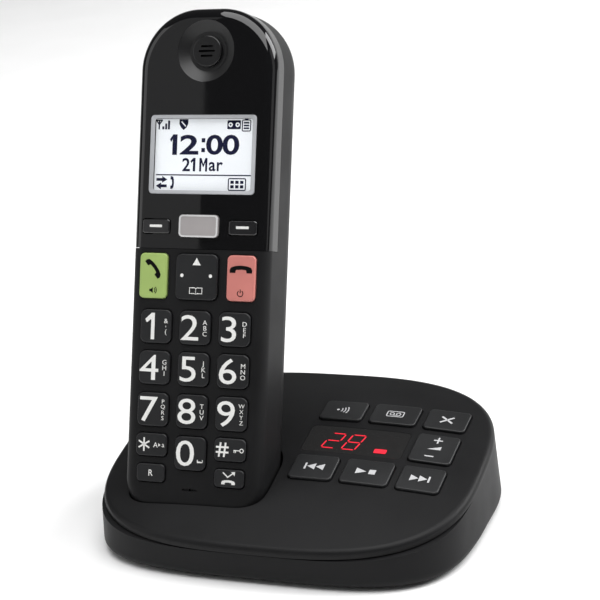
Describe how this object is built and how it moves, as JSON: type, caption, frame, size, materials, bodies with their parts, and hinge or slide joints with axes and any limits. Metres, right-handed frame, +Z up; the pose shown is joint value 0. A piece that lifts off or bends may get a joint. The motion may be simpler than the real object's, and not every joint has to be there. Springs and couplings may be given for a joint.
{
  "type": "cordless phone with base",
  "caption": "Cordless telephone handset with colour-keyed call keys, leaning in the charging well of a low wedge-shaped answering base with a button panel and red display.",
  "frame": {"origin": "middle of the whole footprint at the level the feet stand on", "axes": "+Z up; the keypad and the front of the base face -Y; +X to the right of someone facing the keypad, where the button panel is"},
  "size_m": [0.1324, 0.0976, 0.1729],
  "materials": {
    "cover_plastic": "fine-grained matte",
    "tub_plastic": "fine-grained matte",
    "smoked_lens": "clear smoked gloss",
    "display_block": "matte",
    "light_guide": "frosted",
    "board": "solder mask",
    "mat_rubber": "matte",
    "speaker_black": "satin",
    "contact_metal": "plated",
    "foot_rubber": "matte",
    "screw_steel": "satin",
    "jack_plastic": "matte",
    "base_key_plastic": "satin",
    "handset_matte": "fine-grained matte",
    "panel_gloss": "polished",
    "window_clear": "clear",
    "display_frame": "satin",
    "capsule_metal": "satin",
    "cell_sleeve": "printed film",
    "key_charcoal": "satin",
    "key_gloss": "polished",
    "key_silver": "satin",
    "key_green": "satin",
    "key_red": "satin"
  },
  "bodies": {
    "base": {"base_top_cover": "cover_plastic", "base_lower_housing": "tub_plastic", "base_display_lens": "smoked_lens", "digit_display": "display_block", "message_led": "light_guide", "base_circuit_board": "board", "base_key_mat": "mat_rubber", "base_speaker": "speaker_black", "base_charge_contacts": "contact_metal", "rubber_feet": "foot_rubber", "base_screws": "screw_steel", "dc_jack": "jack_plastic", "line_jack": "jack_plastic"},
    "handset": {"handset_front_housing": "handset_matte", "handset_glossy_panel": "panel_gloss", "handset_rear_housing": "handset_matte", "handset_display_lens": "window_clear", "lcd_module": "display_frame", "earpiece_insert": "panel_gloss", "earpiece_speaker": "speaker_black", "microphone": "capsule_metal", "handset_key_mat": "mat_rubber", "handset_circuit_board": "board", "ringer_speaker": "speaker_black", "battery_cells": "cell_sleeve", "battery_contacts": "contact_metal", "handset_charge_contacts": "contact_metal", "handset_screws": "screw_steel"},
    "door": {"battery_door": "handset_matte"},
    "soft_left_key_body": {"soft_left_key": "key_gloss"},
    "soft_right_key_body": {"soft_right_key": "key_gloss"},
    "center_key_body": {"center_key": "key_silver"},
    "talk_key_body": {"talk_key": "key_green"},
    "navigator_key_body": {"navigator_key": "key_charcoal"},
    "off_key_body": {"off_key": "key_red"},
    "key_1_body": {"key_1": "key_charcoal"},
    "key_2_body": {"key_2": "key_charcoal"},
    "key_3_body": {"key_3": "key_charcoal"},
    "key_4_body": {"key_4": "key_charcoal"},
    "key_5_body": {"key_5": "key_charcoal"},
    "key_6_body": {"key_6": "key_charcoal"},
    "key_7_body": {"key_7": "key_charcoal"},
    "key_8_body": {"key_8": "key_charcoal"},
    "key_9_body": {"key_9": "key_charcoal"},
    "star_key_body": {"star_key": "key_charcoal"},
    "key_0_body": {"key_0": "key_charcoal"},
    "hash_key_body": {"hash_key": "key_charcoal"},
    "recall_key_body": {"recall_key": "key_charcoal"},
    "forward_key_body": {"forward_key": "key_charcoal"},
    "locator_key_body": {"locator_key": "base_key_plastic"},
    "message_key_body": {"message_key": "base_key_plastic"},
    "erase_key_body": {"erase_key": "base_key_plastic"},
    "skip_back_key_body": {"skip_back_key": "base_key_plastic"},
    "play_stop_key_body": {"play_stop_key": "base_key_plastic"},
    "skip_forward_key_body": {"skip_forward_key": "base_key_plastic"},
    "volume_key_body": {"volume_key": "base_key_plastic"}
  },
  "joints": [
    {"name": "handset_lift", "type": "slide", "parent": "base", "child": "handset", "axis": [0, 0.3584, 0.9336], "range_m": [0, 0.06]},
    {"name": "battery_door_lift", "type": "slide", "parent": "handset", "child": "door", "axis": [0, 0.9336, -0.3584], "range_m": [0, 0.012]},
    {"name": "soft_left_key_press", "type": "slide", "parent": "handset", "child": "soft_left_key_body", "axis": [0, 0.9336, -0.3584], "range_m": [0, 0.0006], "stiffness_N_per_m": 1200},
    {"name": "soft_right_key_press", "type": "slide", "parent": "handset", "child": "soft_right_key_body", "axis": [0, 0.9336, -0.3584], "range_m": [0, 0.0006], "stiffness_N_per_m": 1200},
    {"name": "center_key_press", "type": "slide", "parent": "handset", "child": "center_key_body", "axis": [0, 0.9336, -0.3584], "range_m": [0, 0.0006], "stiffness_N_per_m": 1200},
    {"name": "talk_key_press", "type": "slide", "parent": "handset", "child": "talk_key_body", "axis": [0, 0.9336, -0.3584], "range_m": [0, 0.0006], "stiffness_N_per_m": 1200},
    {"name": "navigator_key_press", "type": "slide", "parent": "handset", "child": "navigator_key_body", "axis": [0, 0.9336, -0.3584], "range_m": [0, 0.0006], "stiffness_N_per_m": 1200},
    {"name": "off_key_press", "type": "slide", "parent": "handset", "child": "off_key_body", "axis": [0, 0.9336, -0.3584], "range_m": [0, 0.0006], "stiffness_N_per_m": 1200},
    {"name": "key_1_press", "type": "slide", "parent": "handset", "child": "key_1_body", "axis": [0, 0.9336, -0.3584], "range_m": [0, 0.0006], "stiffness_N_per_m": 1200},
    {"name": "key_2_press", "type": "slide", "parent": "handset", "child": "key_2_body", "axis": [0, 0.9336, -0.3584], "range_m": [0, 0.0006], "stiffness_N_per_m": 1200},
    {"name": "key_3_press", "type": "slide", "parent": "handset", "child": "key_3_body", "axis": [0, 0.9336, -0.3584], "range_m": [0, 0.0006], "stiffness_N_per_m": 1200},
    {"name": "key_4_press", "type": "slide", "parent": "handset", "child": "key_4_body", "axis": [0, 0.9336, -0.3584], "range_m": [0, 0.0006], "stiffness_N_per_m": 1200},
    {"name": "key_5_press", "type": "slide", "parent": "handset", "child": "key_5_body", "axis": [0, 0.9336, -0.3584], "range_m": [0, 0.0006], "stiffness_N_per_m": 1200},
    {"name": "key_6_press", "type": "slide", "parent": "handset", "child": "key_6_body", "axis": [0, 0.9336, -0.3584], "range_m": [0, 0.0006], "stiffness_N_per_m": 1200},
    {"name": "key_7_press", "type": "slide", "parent": "handset", "child": "key_7_body", "axis": [0, 0.9336, -0.3584], "range_m": [0, 0.0006], "stiffness_N_per_m": 1200},
    {"name": "key_8_press", "type": "slide", "parent": "handset", "child": "key_8_body", "axis": [0, 0.9336, -0.3584], "range_m": [0, 0.0006], "stiffness_N_per_m": 1200},
    {"name": "key_9_press", "type": "slide", "parent": "handset", "child": "key_9_body", "axis": [0, 0.9336, -0.3584], "range_m": [0, 0.0006], "stiffness_N_per_m": 1200},
    {"name": "star_key_press", "type": "slide", "parent": "handset", "child": "star_key_body", "axis": [0, 0.9336, -0.3584], "range_m": [0, 0.0006], "stiffness_N_per_m": 1200},
    {"name": "key_0_press", "type": "slide", "parent": "handset", "child": "key_0_body", "axis": [0, 0.9336, -0.3584], "range_m": [0, 0.0006], "stiffness_N_per_m": 1200},
    {"name": "hash_key_press", "type": "slide", "parent": "handset", "child": "hash_key_body", "axis": [0, 0.9336, -0.3584], "range_m": [0, 0.0006], "stiffness_N_per_m": 1200},
    {"name": "recall_key_press", "type": "slide", "parent": "handset", "child": "recall_key_body", "axis": [0, 0.9336, -0.3584], "range_m": [0, 0.0006], "stiffness_N_per_m": 1200},
    {"name": "forward_key_press", "type": "slide", "parent": "handset", "child": "forward_key_body", "axis": [0, 0.9336, -0.3584], "range_m": [0, 0.0006], "stiffness_N_per_m": 1200},
    {"name": "locator_key_press", "type": "slide", "parent": "base", "child": "locator_key_body", "axis": [-0.0062, 0.1551, -0.9879], "range_m": [0, 0.0008], "stiffness_N_per_m": 1200},
    {"name": "message_key_press", "type": "slide", "parent": "base", "child": "message_key_body", "axis": [-0.0373, 0.1666, -0.9853], "range_m": [0, 0.0008], "stiffness_N_per_m": 1200},
    {"name": "erase_key_press", "type": "slide", "parent": "base", "child": "erase_key_body", "axis": [-0.0703, 0.179, -0.9813], "range_m": [0, 0.0008], "stiffness_N_per_m": 1200},
    {"name": "skip_back_key_press", "type": "slide", "parent": "base", "child": "skip_back_key_body", "axis": [-0.0102, 0.2413, -0.9704], "range_m": [0, 0.0008], "stiffness_N_per_m": 1200},
    {"name": "play_stop_key_press", "type": "slide", "parent": "base", "child": "play_stop_key_body", "axis": [-0.0434, 0.2289, -0.9725], "range_m": [0, 0.0008], "stiffness_N_per_m": 1200},
    {"name": "skip_forward_key_press", "type": "slide", "parent": "base", "child": "skip_forward_key_body", "axis": [-0.0734, 0.2229, -0.9721], "range_m": [0, 0.0008], "stiffness_N_per_m": 1200},
    {"name": "volume_key_rock", "type": "hinge", "parent": "base", "child": "volume_key_body", "pos_m": [0.04756, 0.00547, 0.0241], "axis": [0.9971, 0, -0.0761], "range_deg": [-3, 3], "stiffness_Nm_per_rad": 0.08}
  ]
}
